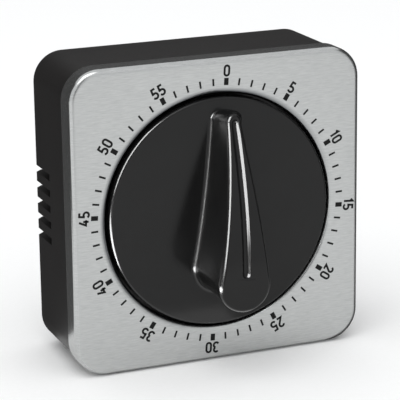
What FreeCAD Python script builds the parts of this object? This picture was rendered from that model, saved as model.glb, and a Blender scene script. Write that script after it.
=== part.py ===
import FreeCAD, Part
import math
import os
import re
import Sketcher

# Square mechanical kitchen timer: a 60-minute clockwork movement in a moulded case behind a steel dial plate.
# The movement and the dial share one frame: x to the right, y up, z out of the face, with z = 0 on the
# front of the steel plate and the dial's centre at x = y = 0. Each sub-part is drawn in that frame and its
# Placement stands it up, so that in the finished part +Z is up, the face looks along -Y, and the origin is
# the middle of the foot that the timer stands on.

# Driving dimensions: millimetres, degrees and tooth counts.
SIZES = {
    # steel dial plate, a shallow pan pressed from one sheet
    "plate_width": 75.0,
    "plate_height": 75.5,
    "plate_corner": 7.9,
    "plate_sheet": 0.5,
    "plate_bend": 1.5,
    "skirt_depth": 5.9,
    "opening_radius": 29.05,
    "curl_bend": 1.25,
    "curl_depth": 1.75,
    # moulded case
    "wall": 2.0,
    "case_depth": 27.8,
    "well_gap": 0.15,
    "well_depth": 4.5,
    "floor_thickness": 1.6,
    "arbor_hole": 3.0,
    "boss_height": 1.9,
    "boss_radius": 2.4,
    "corner_boss_radius": 3.2,
    "corner_boss_inset": 7.5,
    "foot_height": 0.2,
    "foot_width": 48.0,
    "foot_length": 16.0,
    "slot_height": 1.75,
    "slot_pitch": 4.05,
    "slot_length": 9.6,
    "slot_mouth": 3.5,
    "slot_count": 5,
    # back cover
    "cover_thickness": 2.2,
    "cover_chamfer": 1.6,
    "cover_lip": 2.0,
    "cover_fit": 0.15,
    "screw_head_radius": 2.5,
    "screw_head_height": 1.3,
    "screw_shank_radius": 1.3,
    "screw_length": 9.0,
    "magnet_length": 30.0,
    "magnet_height": 8.0,
    "magnet_thickness": 1.4,
    "magnet_offset": 19.0,
    "magnet_fit": 0.1,
    "grille_width": 1.8,
    "grille_height": 18.0,
    "grille_pitch": 5.0,
    "grille_count": 5,
    # knob
    "dial_turn": 3.83,
    "knob_gap": 0.6,
    "knob_face": 0.7,
    "knob_web": 1.6,
    "knob_skirt": 1.45,
    "knob_clearance": 0.9,
    "knob_edge": 0.45,
    "hub_radius": 4.2,
    "hub_clearance": 0.4,
    "grip_front": 25.4,
    "grip_back": 13.6,
    "grip_height": 18.3,
    "grip_drop": 13.1,
    "tip_top": 1.8,
    "tip_base": 3.5,
    "tail_top": 6.55,
    "tail_base": 5.95,
    "groove_width": 2.5,
    "groove_depth": 1.8,
    "groove_end": 11.7,
    "lug_inset": 1.5,
    "lug_length": 3.0,
    "lug_width": 1.1,
    "lug_clearance": 0.3,
    "stop_gap": 6.0,
    "clip_thickness": 0.35,
    "clip_height": 1.8,
    # movement plates, pillars and screws
    "movement_side": 50.0,
    "movement_corner": 4.0,
    "movement_sheet": 0.8,
    "movement_gap": 9.6,
    "pillar_inset": 2.5,
    "pillar_radius": 1.8,
    "stud_radius": 1.0,
    "nut_radius": 2.2,
    "nut_height": 1.4,
    "mount_screw_offset": 19.0,
    "mount_screw_radius": 0.9,
    "mount_screw_head": 1.7,
    "mount_screw_head_height": 0.7,
    "mount_screw_grip": 2.4,
    "pivot_radius": 0.4,
    "pivot_fit": 0.05,
    # main arbor and what turns on it
    "arbor_radius": 2.0,
    "arbor_flat": 1.5,
    "arbor_reach": 5.0,
    "arbor_pivot": 1.2,
    "arbor_tail": 0.4,
    "cam_radius": 9.0,
    "cam_thickness": 0.8,
    "cam_clearance": 0.5,
    "notch_depth": 1.5,
    "notch_angle": 18.0,
    "ratchet_radius": 4.6,
    "ratchet_teeth": 18,
    "ratchet_thickness": 0.6,
    # wheels of the going train
    "main_module": 0.4,
    "main_teeth": 60,
    "main_thickness": 0.9,
    "train_module": 0.3,
    "train_teeth": 64,
    "train_thickness": 0.6,
    "pinion_leaves": 8,
    "train_arbor": 0.6,
    "second_bearing": 135.0,
    "third_bearing": 19.0,
    "escape_bearing": 0.0,
    "layer_gap": 0.4,
    "escape_teeth": 15,
    "escape_radius": 4.5,
    "escape_root": 3.1,
    # lever, balance and hairspring
    "fork_bearing": -60.7,
    "pallet_distance": 5.2,
    "balance_distance": 8.7,
    "pallet_pin_radius": 0.2,
    "pallet_pin_gap": 0.08,
    "pallet_span": 84.0,
    "impulse_radius": 2.175,
    "impulse_pin_radius": 0.25,
    "fork_slot": 0.42,
    "lever_thickness": 0.6,
    "balance_radius": 6.5,
    "balance_rim": 0.9,
    "balance_thickness": 1.1,
    "collet_radius": 0.9,
    "hairspring_radius": 4.4,
    "hairspring_strip": 0.12,
    "hairspring_height": 0.4,
    "hairspring_turns": 6,
    # mainspring
    "spring_inner": 2.7,
    "spring_outer": 10.9,
    "spring_strip": 0.28,
    "spring_turns": 8,
    "spring_height": 4.6,
    "post_radius": 0.8,
    "post_distance": 12.4,
    "post_bearing": -20.0,
    # bell, hammer and release
    "bell_radius": 25.0,
    "bell_wall": 0.8,
    "bell_edge_gap": 0.8,
    "bell_dome": 1.6,
    "bell_back_gap": 0.5,
    "bell_screw_radius": 1.25,
    "bell_screw_head": 2.3,
    "bell_screw_head_height": 0.9,
    "bell_screw_length": 3.5,
    "bell_post_radius": 2.6,
    "bell_post_recess": 1.7,
    "alarm_bearing": -120.0,
    "star_teeth": 14,
    "star_radius": 5.0,
    "hammer_x": -0.8,
    "hammer_y": -17.8,
    "hammer_reach": 11.0,
    "hammer_rest": -4.0,
    "hammer_head_radius": 1.6,
    "hammer_head_height": 2.4,
    "hammer_strip": 0.7,
    "release_x": -15.5,
    "release_y": -8.0,
    "nose_gap": 0.12,
    "nose_width": 1.2,
}

# Levels and places that follow from the sizes, as expressions.
LEVELS = {
    "case_width": "plate_width - 2 * plate_sheet",
    "case_height": "plate_height - 2 * plate_sheet",
    "case_corner": "plate_corner - plate_sheet",
    "case_front": "-plate_sheet",
    "wall_back": "case_front - wall",
    "well_radius": "opening_radius + plate_sheet + well_gap",
    "well_floor": "-well_depth",
    "floor_back": "well_floor - floor_thickness",
    "case_rim": "-case_depth",
    "cover_back": "case_rim - cover_thickness",
    "half_depth": "(case_depth + cover_thickness) / 2",
    "case_drop": "plate_sheet + foot_height",
    "dial_height": "foot_height + plate_height / 2",
    "boss_x": "case_width / 2 - corner_boss_inset",
    "boss_y": "case_height / 2 - corner_boss_inset",
    "plate_one": "floor_back - boss_height",
    "plate_one_back": "plate_one - movement_sheet",
    "plate_two": "plate_one_back - movement_gap",
    "plate_two_back": "plate_two - movement_sheet",
    "pillar_place": "movement_side / 2 - pillar_inset",
    "knob_radius": "opening_radius - knob_gap",
    "knob_under": "knob_face - knob_web",
    "lug_radius": "knob_radius - knob_skirt - lug_inset - lug_length / 2",
    "knob_rim": "well_floor + knob_clearance",
    "hub_end": "well_floor + hub_clearance",
    "first_layer": "plate_one_back - layer_gap",
    "spring_front": "first_layer - train_thickness - 2 * layer_gap",
    "spring_back": "spring_front - spring_height",
    "main_front": "spring_back - 1.5 * layer_gap",
    "main_back": "main_front - main_thickness",
    "ratchet_back": "main_back - ratchet_thickness",
    "last_layer": "plate_two + 0.75 * layer_gap + train_thickness",
    "first_distance": "main_module * (main_teeth + pinion_leaves) / 2",
    "train_distance": "train_module * (train_teeth + pinion_leaves) / 2",
    "second_x": "first_distance * cos(second_bearing)",
    "second_y": "first_distance * sin(second_bearing)",
    "third_x": "second_x + train_distance * cos(third_bearing)",
    "third_y": "second_y + train_distance * sin(third_bearing)",
    "escape_x": "third_x + train_distance * cos(escape_bearing)",
    "escape_y": "third_y + train_distance * sin(escape_bearing)",
    "pallet_x": "escape_x + pallet_distance * cos(fork_bearing)",
    "pallet_y": "escape_y + pallet_distance * sin(fork_bearing)",
    "balance_x": "pallet_x + balance_distance * cos(fork_bearing)",
    "balance_y": "pallet_y + balance_distance * sin(fork_bearing)",
    "alarm_x": "first_distance * cos(alarm_bearing)",
    "alarm_y": "first_distance * sin(alarm_bearing)",
    "hairspring_front": "first_layer - 0.5 * layer_gap",
    "balance_front": "hairspring_front - hairspring_height - 2 * layer_gap",
    "balance_back": "balance_front - balance_thickness",
    "roller_back": "balance_back - 1.75 * layer_gap",
    "lever_front": "roller_back - 0.5 * layer_gap",
    "lever_back": "lever_front - lever_thickness",
    "escape_front": "lever_back - 1.5 * layer_gap",
    "pallet_radius": "escape_radius + pallet_pin_radius + pallet_pin_gap",
    "bell_edge": "plate_two_back - bell_edge_gap",
    "bell_back": "case_rim + bell_back_gap + bell_screw_head_height",
    "hammer_front": "bell_edge - 1.2",
    "head_front": "hammer_front - hammer_strip",
    "cam_front": "floor_back - cam_clearance",
    "cam_back": "cam_front - cam_thickness",
    "nose_radius": "cam_radius + nose_gap",
    "head_back": "head_front - hammer_head_height",
    "verge_bearing": "atan2(alarm_y - hammer_y; alarm_x - hammer_x) / 1 deg",
    "release_distance": "sqrt(release_x * release_x + release_y * release_y)",
    "release_bearing": "atan2(release_y; release_x) / 1 deg",
    "nose_bearing": "release_bearing - acos(nose_radius / release_distance) / 1 deg",
    "release_length": "sqrt(release_distance * release_distance - nose_radius * nose_radius)",
    "pin_reach": "pallet_radius * cos(pallet_span / 2) - pallet_distance",
    "pin_spread": "pallet_radius * sin(pallet_span / 2)",
    "fork_reach": "balance_distance - impulse_radius",
    "eye_radius": "post_radius + pivot_fit + spring_strip",
    "post_x": "post_distance * cos(post_bearing)",
    "post_y": "post_distance * sin(post_bearing)",
}

document = FreeCAD.newDocument("kitchen_timer")
sheet = document.addObject("Spreadsheet::Sheet", "Sizes")
for row, (alias, size) in enumerate(SIZES.items(), start=1):
    sheet.set(f"A{row}", alias)
    sheet.set(f"B{row}", str(size))
    sheet.setAlias(f"B{row}", alias)
document.recompute()
levels = document.addObject("App::VarSet", "Levels")
finished = []


def sized(text):
    """Name the sheet or the set of levels in front of each size in an expression."""
    def full(match):
        word = match.group(0)
        if word in SIZES:
            return f"Sizes.{word}"
        return f"Levels.{word}" if word in LEVELS else word
    return re.sub(r"[A-Za-z_]+", full, str(text))


def number(text):
    """The present value of an expression."""
    return float(levels.evalExpression(sized(text)))


for alias, text in LEVELS.items():
    levels.addProperty("App::PropertyFloat", alias)
    levels.setExpression(alias, sized(text))
    document.recompute()
    if "Invalid" in levels.State:
        raise RuntimeError(f"level {alias} can't be worked out")


def vector(x, y, z=0.0):
    return FreeCAD.Vector(x, y, z)


def bind(piece, **properties):
    for name, text in properties.items():
        piece.setExpression(name.replace("__", "."), sized(text))


# ---- solids from primitives ----

def cylinder(name, radius, front, back, x="0", y="0"):
    """A round bar along z from the level front to the level back."""
    piece = document.addObject("Part::Cylinder", name)
    bind(piece, Radius=radius, Height=f"({front}) - ({back})")
    bind(piece, Placement__Base__x=x, Placement__Base__y=y, Placement__Base__z=back)
    return piece


def fuse(name, pieces):
    piece = document.addObject("Part::MultiFuse", name)
    piece.Shapes = pieces
    return piece


def cut(name, base, tools):
    piece = document.addObject("Part::Cut", name)
    piece.Base = base
    piece.Tool = tools[0] if len(tools) == 1 else fuse(name + "_tools", tools)
    return piece


def group(name, pieces):
    piece = document.addObject("Part::Compound", name)
    piece.Links = pieces
    return piece


def prism(name, face, front, back):
    """A flat outline made into a plate between two levels."""
    outline = document.addObject("Part::Feature", name + "_outline")
    outline.Shape = face
    bind(outline, Placement__Base__z=back)
    piece = document.addObject("Part::Extrusion", name)
    piece.Base = outline
    piece.DirMode = "Custom"
    piece.Dir = vector(0, 0, 1)
    piece.Solid = True
    bind(piece, LengthFwd=f"({front}) - ({back})")
    return piece


# ---- bodies with sketches ----

def body(name):
    return document.addObject("PartDesign::Body", name)


def sketch(owner, name, plane="XY_Plane", level="0"):
    drawing = owner.newObject("Sketcher::SketchObject", name)
    origin_plane = [item for item in owner.Origin.OriginFeatures if item.Role == plane][0]
    drawing.AttachmentSupport = [(origin_plane, "")]
    drawing.MapMode = "FlatFace"
    bind(drawing, AttachmentOffset__Base__z=level)
    return drawing


def constrain(drawing, kind, *arguments, size=None):
    """Add a constraint; a size is an expression and drives the constraint's value."""
    if size is None:
        drawing.addConstraint(Sketcher.Constraint(kind, *arguments))
        return
    index = drawing.addConstraint(Sketcher.Constraint(kind, *arguments, number(size)))
    drawing.setExpression(f"Constraints[{index}]", sized(size))


def draw_polygon(drawing, points):
    """A closed outline through points given as pairs of expressions."""
    places = [vector(number(x), number(y)) for x, y in points]
    first = drawing.GeometryCount
    count = len(points)
    for index in range(count):
        drawing.addGeometry(Part.LineSegment(places[index], places[(index + 1) % count]))
    for index in range(count):
        constrain(drawing, "Coincident", first + index, 2, first + (index + 1) % count, 1)
    for index, (x, y) in enumerate(points):
        constrain(drawing, "DistanceX", -1, 1, first + index, 1, size=x)
        constrain(drawing, "DistanceY", -1, 1, first + index, 1, size=y)


def draw_circle(drawing, radius, x="0", y="0"):
    index = drawing.addGeometry(Part.Circle(vector(number(x), number(y)), vector(0, 0, 1), number(radius)))
    constrain(drawing, "Radius", index, size=radius)
    constrain(drawing, "DistanceX", -1, 1, index, 3, size=x)
    constrain(drawing, "DistanceY", -1, 1, index, 3, size=y)


def draw_rounded_rectangle(drawing, width, height, radius):
    """A rectangle about the origin with four equal round corners."""
    x, y, r = number(width) / 2, number(height) / 2, number(radius)
    sides = [(r - x, -y, x - r, -y), (x, r - y, x, y - r), (x - r, y, r - x, y), (-x, y - r, -x, r - y)]
    centres = [(x - r, r - y), (x - r, y - r), (r - x, y - r), (r - x, r - y)]
    lines = [drawing.addGeometry(Part.LineSegment(vector(a, b), vector(c, d))) for a, b, c, d in sides]
    arcs = []
    for index, (a, b) in enumerate(centres):
        circle = Part.Circle(vector(a, b), vector(0, 0, 1), r)
        start = (index - 1) * math.pi / 2
        arcs.append(drawing.addGeometry(Part.ArcOfCircle(circle, start, start + math.pi / 2)))
    for index in range(4):
        constrain(drawing, "Tangent", lines[index], 2, arcs[index], 1)
        constrain(drawing, "Tangent", arcs[index], 2, lines[(index + 1) % 4], 1)
        constrain(drawing, "Horizontal" if index % 2 == 0 else "Vertical", lines[index])
    for index in range(3):
        constrain(drawing, "Equal", arcs[index], arcs[index + 1])
    constrain(drawing, "Symmetric", lines[0], 1, lines[2], 1, -1, 1)
    constrain(drawing, "Radius", arcs[0], size=radius)
    constrain(drawing, "DistanceX", lines[3], 1, lines[1], 2, size=width)
    constrain(drawing, "DistanceY", lines[0], 1, lines[2], 1, size=height)


def draw_flatted_circle(drawing, radius, flat):
    """A circle about the origin with one flat, at the distance flat on the +x side."""
    r, x = number(radius), number(flat)
    angle = math.acos(x / r)
    y = r * math.sin(angle)
    circle = Part.Circle(vector(0, 0), vector(0, 0, 1), r)
    arc = drawing.addGeometry(Part.ArcOfCircle(circle, angle, 2 * math.pi - angle))
    line = drawing.addGeometry(Part.LineSegment(vector(x, -y), vector(x, y)))
    constrain(drawing, "Coincident", arc, 2, line, 1)
    constrain(drawing, "Coincident", line, 2, arc, 1)
    constrain(drawing, "Coincident", arc, 3, -1, 1)
    constrain(drawing, "Vertical", line)
    constrain(drawing, "Radius", arc, size=radius)
    constrain(drawing, "DistanceX", -1, 1, line, 1, size=flat)


def add(owner, name, drawing, depth, outwards=False):
    """Pad a sketch from its own level into the timer, or outwards along its normal."""
    feature = owner.newObject("PartDesign::Pad", name)
    feature.Profile = drawing
    feature.Reversed = not outwards
    bind(feature, Length=depth)
    document.recompute()
    return feature


def remove(owner, name, drawing, depth):
    """Pocket a sketch from its own level into the timer."""
    before = owner.Shape.Volume
    feature = owner.newObject("PartDesign::Pocket", name)
    feature.Profile = drawing
    bind(feature, Length=depth)
    document.recompute()
    if owner.Shape.Volume > before - 1e-6:
        raise RuntimeError(f"{name} cut nothing")
    return feature


def turn(owner, name, profile):
    """Revolve a half profile of (radius, level) pairs about the z axis."""
    drawing = sketch(owner, name + "_profile", "XZ_Plane")
    draw_polygon(drawing, profile)
    feature = owner.newObject("PartDesign::Revolution", name)
    feature.Profile = drawing
    feature.ReferenceAxis = (drawing, ["V_Axis"])
    feature.Angle = 360
    document.recompute()
    return feature


def edges_where(shape, test):
    """The names of the edges whose every end and middle point passes a test."""
    names = []
    for index, edge in enumerate(shape.Edges, start=1):
        middle = edge.valueAt((edge.FirstParameter + edge.LastParameter) / 2)
        if all(test(point) for point in [middle] + [corner.Point for corner in edge.Vertexes]):
            names.append(f"Edge{index}")
    return names


def round_edges(owner, name, radius, test):
    feature = owner.newObject("PartDesign::Fillet", name)
    base = owner.Group[-2]
    feature.Base = (base, edges_where(base.Shape, test))
    bind(feature, Radius=radius)
    document.recompute()
    return feature


def near(first, second, slack=0.01):
    return abs(first - second) < slack


def four_corners(x, y):
    """The four places at plus and minus x and y, as expressions."""
    return [(f"{a}({x})", f"{b}({y})") for a in ("", "-") for b in ("", "-")]


def radial_outline(bearing, inner, outer, width):
    """Corners of a bar that lies along a radius at a bearing."""
    corners = ((inner, -1), (outer, -1), (outer, 1), (inner, 1))
    return [
        (
            f"({reach}) * cos({bearing}) - {side} * ({width}) / 2 * sin({bearing})",
            f"({reach}) * sin({bearing}) + {side} * ({width}) / 2 * cos({bearing})",
        )
        for reach, side in corners
    ]


def finish(label, piece, turned="0"):
    """Stand a sub-part up in the timer's own frame, turned clockwise on the dial, and list it."""
    upright = FreeCAD.Rotation(vector(1, 0, 0), 90)
    spin = FreeCAD.Rotation(vector(0, 0, 1), -number(turned))
    place = vector(0, -number("half_depth"), number("dial_height"))
    piece.Placement = FreeCAD.Placement(place, upright.multiply(spin))
    piece.Label = label
    finished.append(piece)


# ---- tooth outlines ----

def polar(radius, degrees, x=0.0, y=0.0):
    angle = math.radians(degrees)
    return vector(x + radius * math.cos(angle), y + radius * math.sin(angle))


def toothed_face(teeth, module, addendum, dedendum, share, phase, x, y):
    """A wheel or pinion: radial flanks, rounded tips, one tooth centred on the bearing phase."""
    pitch_radius = teeth * module / 2
    tip, root = pitch_radius + addendum * module, pitch_radius - dedendum * module
    half = 180.0 / teeth * share
    edges = []
    for index in range(teeth):
        centre = phase + index * 360.0 / teeth
        after = centre + 360.0 / teeth
        foot_one, side_one = polar(root, centre - half, x, y), polar(pitch_radius, centre - half, x, y)
        side_two, foot_two = polar(pitch_radius, centre + half, x, y), polar(root, centre + half, x, y)
        next_foot = polar(root, after - half, x, y)
        edges.append(Part.LineSegment(foot_one, side_one).toShape())
        edges.append(Part.Arc(side_one, polar(tip, centre, x, y), side_two).toShape())
        edges.append(Part.LineSegment(side_two, foot_two).toShape())
        edges.append(Part.Arc(foot_two, polar(root, (centre + after) / 2, x, y), next_foot).toShape())
    return Part.Face(Part.Wire(edges))


def pointed_face(teeth, tip, root, lean, phase, x, y):
    """A wheel with pointed teeth; lean shifts the feet of each tooth to one side."""
    step = 360.0 / teeth
    edges = []
    width = 0.06 * step
    for index in range(teeth):
        centre = phase + index * step
        corners = [
            polar(root, centre - (0.25 - lean) * step, x, y),
            polar(tip, centre - width, x, y),
            polar(tip, centre + width, x, y),
            polar(root, centre + (0.25 + lean) * step, x, y),
            polar(root, centre + (0.75 + lean) * step, x, y),
        ]
        for start, end in zip(corners, corners[1:]):
            edges.append(Part.LineSegment(start, end).toShape())
    return Part.Face(Part.Wire(edges))


WHEEL = (0.85, 1.0, 0.42)
PINION = (0.55, 1.25, 0.33)


def meshing_phase(bearing, wheel_phase, wheel_teeth, leaves):
    """The bearing of a leaf on a pinion that stands in mesh with a wheel, seen from the wheel's centre."""
    step = 360.0 / wheel_teeth
    offset = (wheel_phase - bearing + step / 2) % step - step / 2
    return bearing + 180.0 - offset * wheel_teeth / leaves + 180.0 / leaves


def wheel(name, teeth, module, phase, front, back, x, y, bore, windows, window_radius, window_place):
    """A brass wheel with round windows and a hole for its arbor."""
    face = toothed_face(int(number(teeth)), number(module), *WHEEL, phase, number(x), number(y))
    tools = [cylinder(name + "_bore", bore, front, back, x, y)]
    for index in range(windows):
        bearing = 360.0 / windows * index + phase
        place_x = f"{x} + ({window_place}) * cos({bearing})"
        place_y = f"{y} + ({window_place}) * sin({bearing})"
        tools.append(cylinder(f"{name}_window_{index}", window_radius, front, back, place_x, place_y))
    return cut(name, prism(name + "_blank", face, front, back), tools)


def pinion(name, module, phase, front, back, x, y):
    """A steel arbor with leaves cut in it between two levels, and a pivot in each movement plate."""
    face = toothed_face(int(number("pinion_leaves")), number(module), *PINION, phase, number(x), number(y))
    leaves = prism(name + "_leaves", face, front, back)
    return fuse(name, [leaves, *pivoted_arbor(name, "train_arbor", x, y)])


def pivoted_arbor(name, radius, x, y, front="plate_one_back - 0.1", back="plate_two + 0.1"):
    """An arbor between the movement plates with a thinner pivot through each."""
    staff = cylinder(name + "_staff", radius, front, back, x, y)
    pivots = cylinder(name + "_pivots", "pivot_radius", "plate_one - 0.1", "plate_two_back - 0.1", x, y)
    return [staff, pivots]


def at_bearing(points, x, y, bearing):
    """Points given along and across a direction, turned to its bearing about a place."""
    return [
        (
            f"{x} + ({along}) * cos({bearing}) - ({across}) * sin({bearing})",
            f"{y} + ({along}) * sin({bearing}) + ({across}) * cos({bearing})",
        )
        for along, across in points
    ]


def mirrored(points):
    """A half outline above the centre line, closed by its mirror image below."""
    return points + [(along, f"-({across})") for along, across in reversed(points)]


def plate_from(name, points, front, back, bores):
    """A flat piece with a polygonal outline and round holes given as (radius, x, y)."""
    owner = body(name)
    outline = sketch(owner, name + "_outline", level=front)
    draw_polygon(outline, points)
    add(owner, name + "_pad", outline, f"({front}) - ({back})")
    holes = sketch(owner, name + "_holes", level=front)
    for radius, x, y in bores:
        draw_circle(holes, radius, x, y)
    remove(owner, name + "_bores", holes, f"({front}) - ({back})")
    return owner


def bar(name, length, height, front, back, x="0", y="0"):
    """A square-sided block centred on a place."""
    piece = document.addObject("Part::Box", name)
    bind(piece, Length=length, Width=height, Height=f"({front}) - ({back})")
    bind(piece, Placement__Base__x=f"{x} - ({length}) / 2", Placement__Base__y=f"{y} - ({height}) / 2")
    bind(piece, Placement__Base__z=back)
    return piece


def spiral_face(inner, outer, strip, turns, bearing, x, y):
    """A flat coil of half circles about two centres, starting outside at a bearing."""
    halves = 2 * turns
    step = (outer - inner) / halves
    along = math.radians(bearing)
    outside, inside = [], []
    for index in range(halves):
        shift = step / 2 if index % 2 == 0 else -step / 2
        centre_x, centre_y = x + shift * math.cos(along), y + shift * math.sin(along)
        start = bearing + 180.0 * (index % 2)
        for edges, extra in ((inside, 0.0), (outside, strip)):
            radius = outer - step / 2 - index * step + extra
            corners = [polar(radius, start + angle, centre_x, centre_y) for angle in (0.0, 90.0, 180.0)]
            edges.append((Part.Arc(*corners).toShape(), corners[0], corners[2]))
    cap_out = Part.LineSegment(outside[0][1], inside[0][1]).toShape()
    cap_in = Part.LineSegment(inside[-1][2], outside[-1][2]).toShape()
    loop = [cap_out] + [edge for edge, _, _ in inside] + [cap_in] + [edge for edge, _, _ in reversed(outside)]
    return Part.Face(Part.Wire(loop))


# ---- face plate, case and back cover ----

def make_face_plate():
    """Steel sheet drawn into a pan; the edge of its opening is curled inwards."""
    owner = body("face_plate")
    outline = sketch(owner, "plate_outline")
    draw_rounded_rectangle(outline, "plate_width", "plate_height", "plate_corner")
    add(owner, "plate_block", outline, "skirt_depth")
    round_edges(owner, "plate_outer_bend", "plate_bend", lambda point: near(point.z, 0))
    inside = sketch(owner, "plate_inside", level="-plate_sheet")
    draw_rounded_rectangle(inside, "case_width", "case_height", "case_corner")
    remove(owner, "plate_cavity", inside, "skirt_depth - plate_sheet")
    back = -number("plate_sheet")
    round_edges(owner, "plate_inner_bend", "plate_bend - plate_sheet", lambda point: near(point.z, back))
    collar = sketch(owner, "collar_outline", level="-plate_sheet / 2")
    draw_circle(collar, "opening_radius + plate_sheet")
    add(owner, "collar", collar, "curl_depth - plate_sheet / 2")
    opening = sketch(owner, "opening_outline")
    draw_circle(opening, "opening_radius")
    remove(owner, "opening", opening, "curl_depth")
    inner, outer = number("opening_radius"), number("opening_radius + plate_sheet")
    round_edges(owner, "curl_front", "curl_bend",
                lambda point: near(point.z, 0) and near(math.hypot(point.x, point.y), inner))
    round_edges(owner, "curl_back", "curl_bend - plate_sheet",
                lambda point: near(point.z, back) and near(math.hypot(point.x, point.y), outer))
    finish("face_plate", owner)


def make_case():
    """Black moulded box with the knob's well in its front wall, open at the back."""
    owner = body("case")
    outline = sketch(owner, "case_outline", level="case_front")
    draw_rounded_rectangle(outline, "case_width", "case_height", "case_corner")
    add(owner, "case_block", outline, "case_depth - plate_sheet")
    front = number("case_front")
    round_edges(owner, "case_front_round", "plate_bend - plate_sheet", lambda point: near(point.z, front))
    inside = sketch(owner, "case_inside", level="wall_back")
    draw_rounded_rectangle(inside, "case_width - 2 * wall", "case_height - 2 * wall", "case_corner - wall")
    remove(owner, "case_cavity", inside, "wall_back - case_rim")
    well = sketch(owner, "well_outline", level="wall_back")
    draw_circle(well, "well_radius + floor_thickness")
    add(owner, "well_cup", well, "wall_back - floor_back")
    opening = sketch(owner, "well_opening", level="case_front")
    draw_circle(opening, "well_radius")
    remove(owner, "well_bore", opening, "case_front - well_floor")
    rim = number("well_radius")
    round_edges(owner, "well_edge", "curl_bend - plate_sheet",
                lambda point: near(point.z, front) and near(math.hypot(point.x, point.y), rim))
    hole = sketch(owner, "arbor_hole_outline", level="well_floor")
    draw_circle(hole, "arbor_hole")
    remove(owner, "arbor_hole_bore", hole, "floor_thickness")
    add_bosses(owner)
    lug = sketch(owner, "stop_lug_outline", level="knob_under - lug_clearance")
    draw_polygon(lug, radial_outline("(stop_gap / 2 - 90 - dial_turn)", "lug_radius - lug_length / 2",
                                     "lug_radius + lug_length / 2", "lug_width"))
    add(owner, "stop_lug", lug, "knob_under - lug_clearance - well_floor")
    cut_sound_slots(owner, "case", "wall + 0.5", "case_rim - 1", "case_rim + slot_length")
    foot = sketch(owner, "foot_outline", "XZ_Plane", "case_height / 2")
    near_edge, far_edge = "-half_depth + foot_length / 2", "-half_depth - foot_length / 2"
    draw_polygon(foot, [("-foot_width / 2", far_edge), ("foot_width / 2", far_edge),
                        ("foot_width / 2", near_edge), ("-foot_width / 2", near_edge)])
    add(owner, "foot", foot, "case_drop", outwards=True)
    finish("case", owner)


def add_bosses(owner):
    """Four short bosses for the movement and four long ones for the cover, with their pilot holes."""
    for name, x, y, radius, level, depth, bore, bore_depth in (
        ("movement", "mount_screw_offset", "mount_screw_offset", "boss_radius", "floor_back", "boss_height",
         "mount_screw_radius", "mount_screw_grip"),
        ("cover", "boss_x", "boss_y", "corner_boss_radius", "wall_back", "wall_back - case_rim",
         "screw_shank_radius", "screw_length"),
    ):
        bosses = sketch(owner, name + "_boss_outlines", level=level)
        holes = sketch(owner, name + "_pilot_outlines", level=f"{level} - ({depth}) + {bore_depth}")
        for place in four_corners(x, y):
            draw_circle(bosses, radius, *place)
            draw_circle(holes, bore, *place)
        add(owner, name + "_bosses", bosses, depth)
        remove(owner, name + "_pilots", holes, bore_depth)


def cut_sound_slots(owner, name, reach, rear, front):
    """Slots across the left wall, between two levels, that let the bell be heard."""
    drawing = sketch(owner, name + "_slot_outlines", "YZ_Plane", f"-case_width / 2 + {reach}")
    count = int(number("slot_count"))
    for index in range(count):
        middle = f"({index} - {(count - 1) / 2}) * slot_pitch"
        low, high = f"{middle} - slot_height / 2", f"{middle} + slot_height / 2"
        draw_polygon(drawing, [(low, rear), (high, rear), (high, front), (low, front)])
    remove(owner, name + "_sound_slots", drawing, f"{reach} + 1")


def make_back_cover():
    """Moulded cover screwed on the case's rim, with pockets for two magnets and a sound grille."""
    owner = body("back_cover")
    outline = sketch(owner, "cover_outline", level="case_rim")
    draw_rounded_rectangle(outline, "case_width", "case_height", "case_corner")
    add(owner, "cover_plate", outline, "cover_thickness")
    chamfer = owner.newObject("PartDesign::Chamfer", "cover_chamfer_edge")
    back = number("cover_back")
    base = owner.Group[-2]
    chamfer.Base = (base, edges_where(base.Shape, lambda point: near(point.z, back)))
    bind(chamfer, Size="cover_chamfer")
    document.recompute()
    lips = sketch(owner, "lip_outlines", level="case_rim")
    high, low = "case_height / 2 - wall - cover_fit", "case_height / 2 - 2 * wall - cover_fit"
    for sign in ("", "-"):
        draw_polygon(lips, [("-foot_width / 3", f"{sign}({low})"), ("foot_width / 3", f"{sign}({low})"),
                            ("foot_width / 3", f"{sign}({high})"), ("-foot_width / 3", f"{sign}({high})")])
    add(owner, "lips", lips, "cover_lip", outwards=True)
    recesses = sketch(owner, "recess_outlines", level="cover_back + screw_head_height")
    holes = sketch(owner, "screw_hole_outlines", level="case_rim")
    for place in four_corners("boss_x", "boss_y"):
        draw_circle(recesses, "screw_head_radius + cover_fit", *place)
        draw_circle(holes, "screw_shank_radius + cover_fit", *place)
    remove(owner, "screw_recesses", recesses, "screw_head_height")
    remove(owner, "screw_holes", holes, "cover_thickness")
    pockets = sketch(owner, "magnet_outlines", level="cover_back + magnet_thickness")
    x = "magnet_length / 2 + magnet_fit"
    for sign in ("", "-"):
        low = f"{sign}(magnet_offset - magnet_height / 2 - magnet_fit)"
        high = f"{sign}(magnet_offset + magnet_height / 2 + magnet_fit)"
        draw_polygon(pockets, [(f"-({x})", low), (x, low), (x, high), (f"-({x})", high)])
    remove(owner, "magnet_pockets", pockets, "magnet_thickness")
    grille = sketch(owner, "grille_outlines", level="case_rim")
    count = int(number("grille_count"))
    for index in range(count):
        middle = f"({index} - {(count - 1) / 2}) * grille_pitch"
        left, right = f"{middle} - grille_width / 2", f"{middle} + grille_width / 2"
        draw_polygon(grille, [(left, "-grille_height / 2"), (right, "-grille_height / 2"),
                              (right, "grille_height / 2"), (left, "grille_height / 2")])
    remove(owner, "sound_grille", grille, "cover_thickness")
    cut_sound_slots(owner, "cover", "slot_mouth", "cover_back - 1", "case_rim + 1")
    finish("back_cover", owner)


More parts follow.
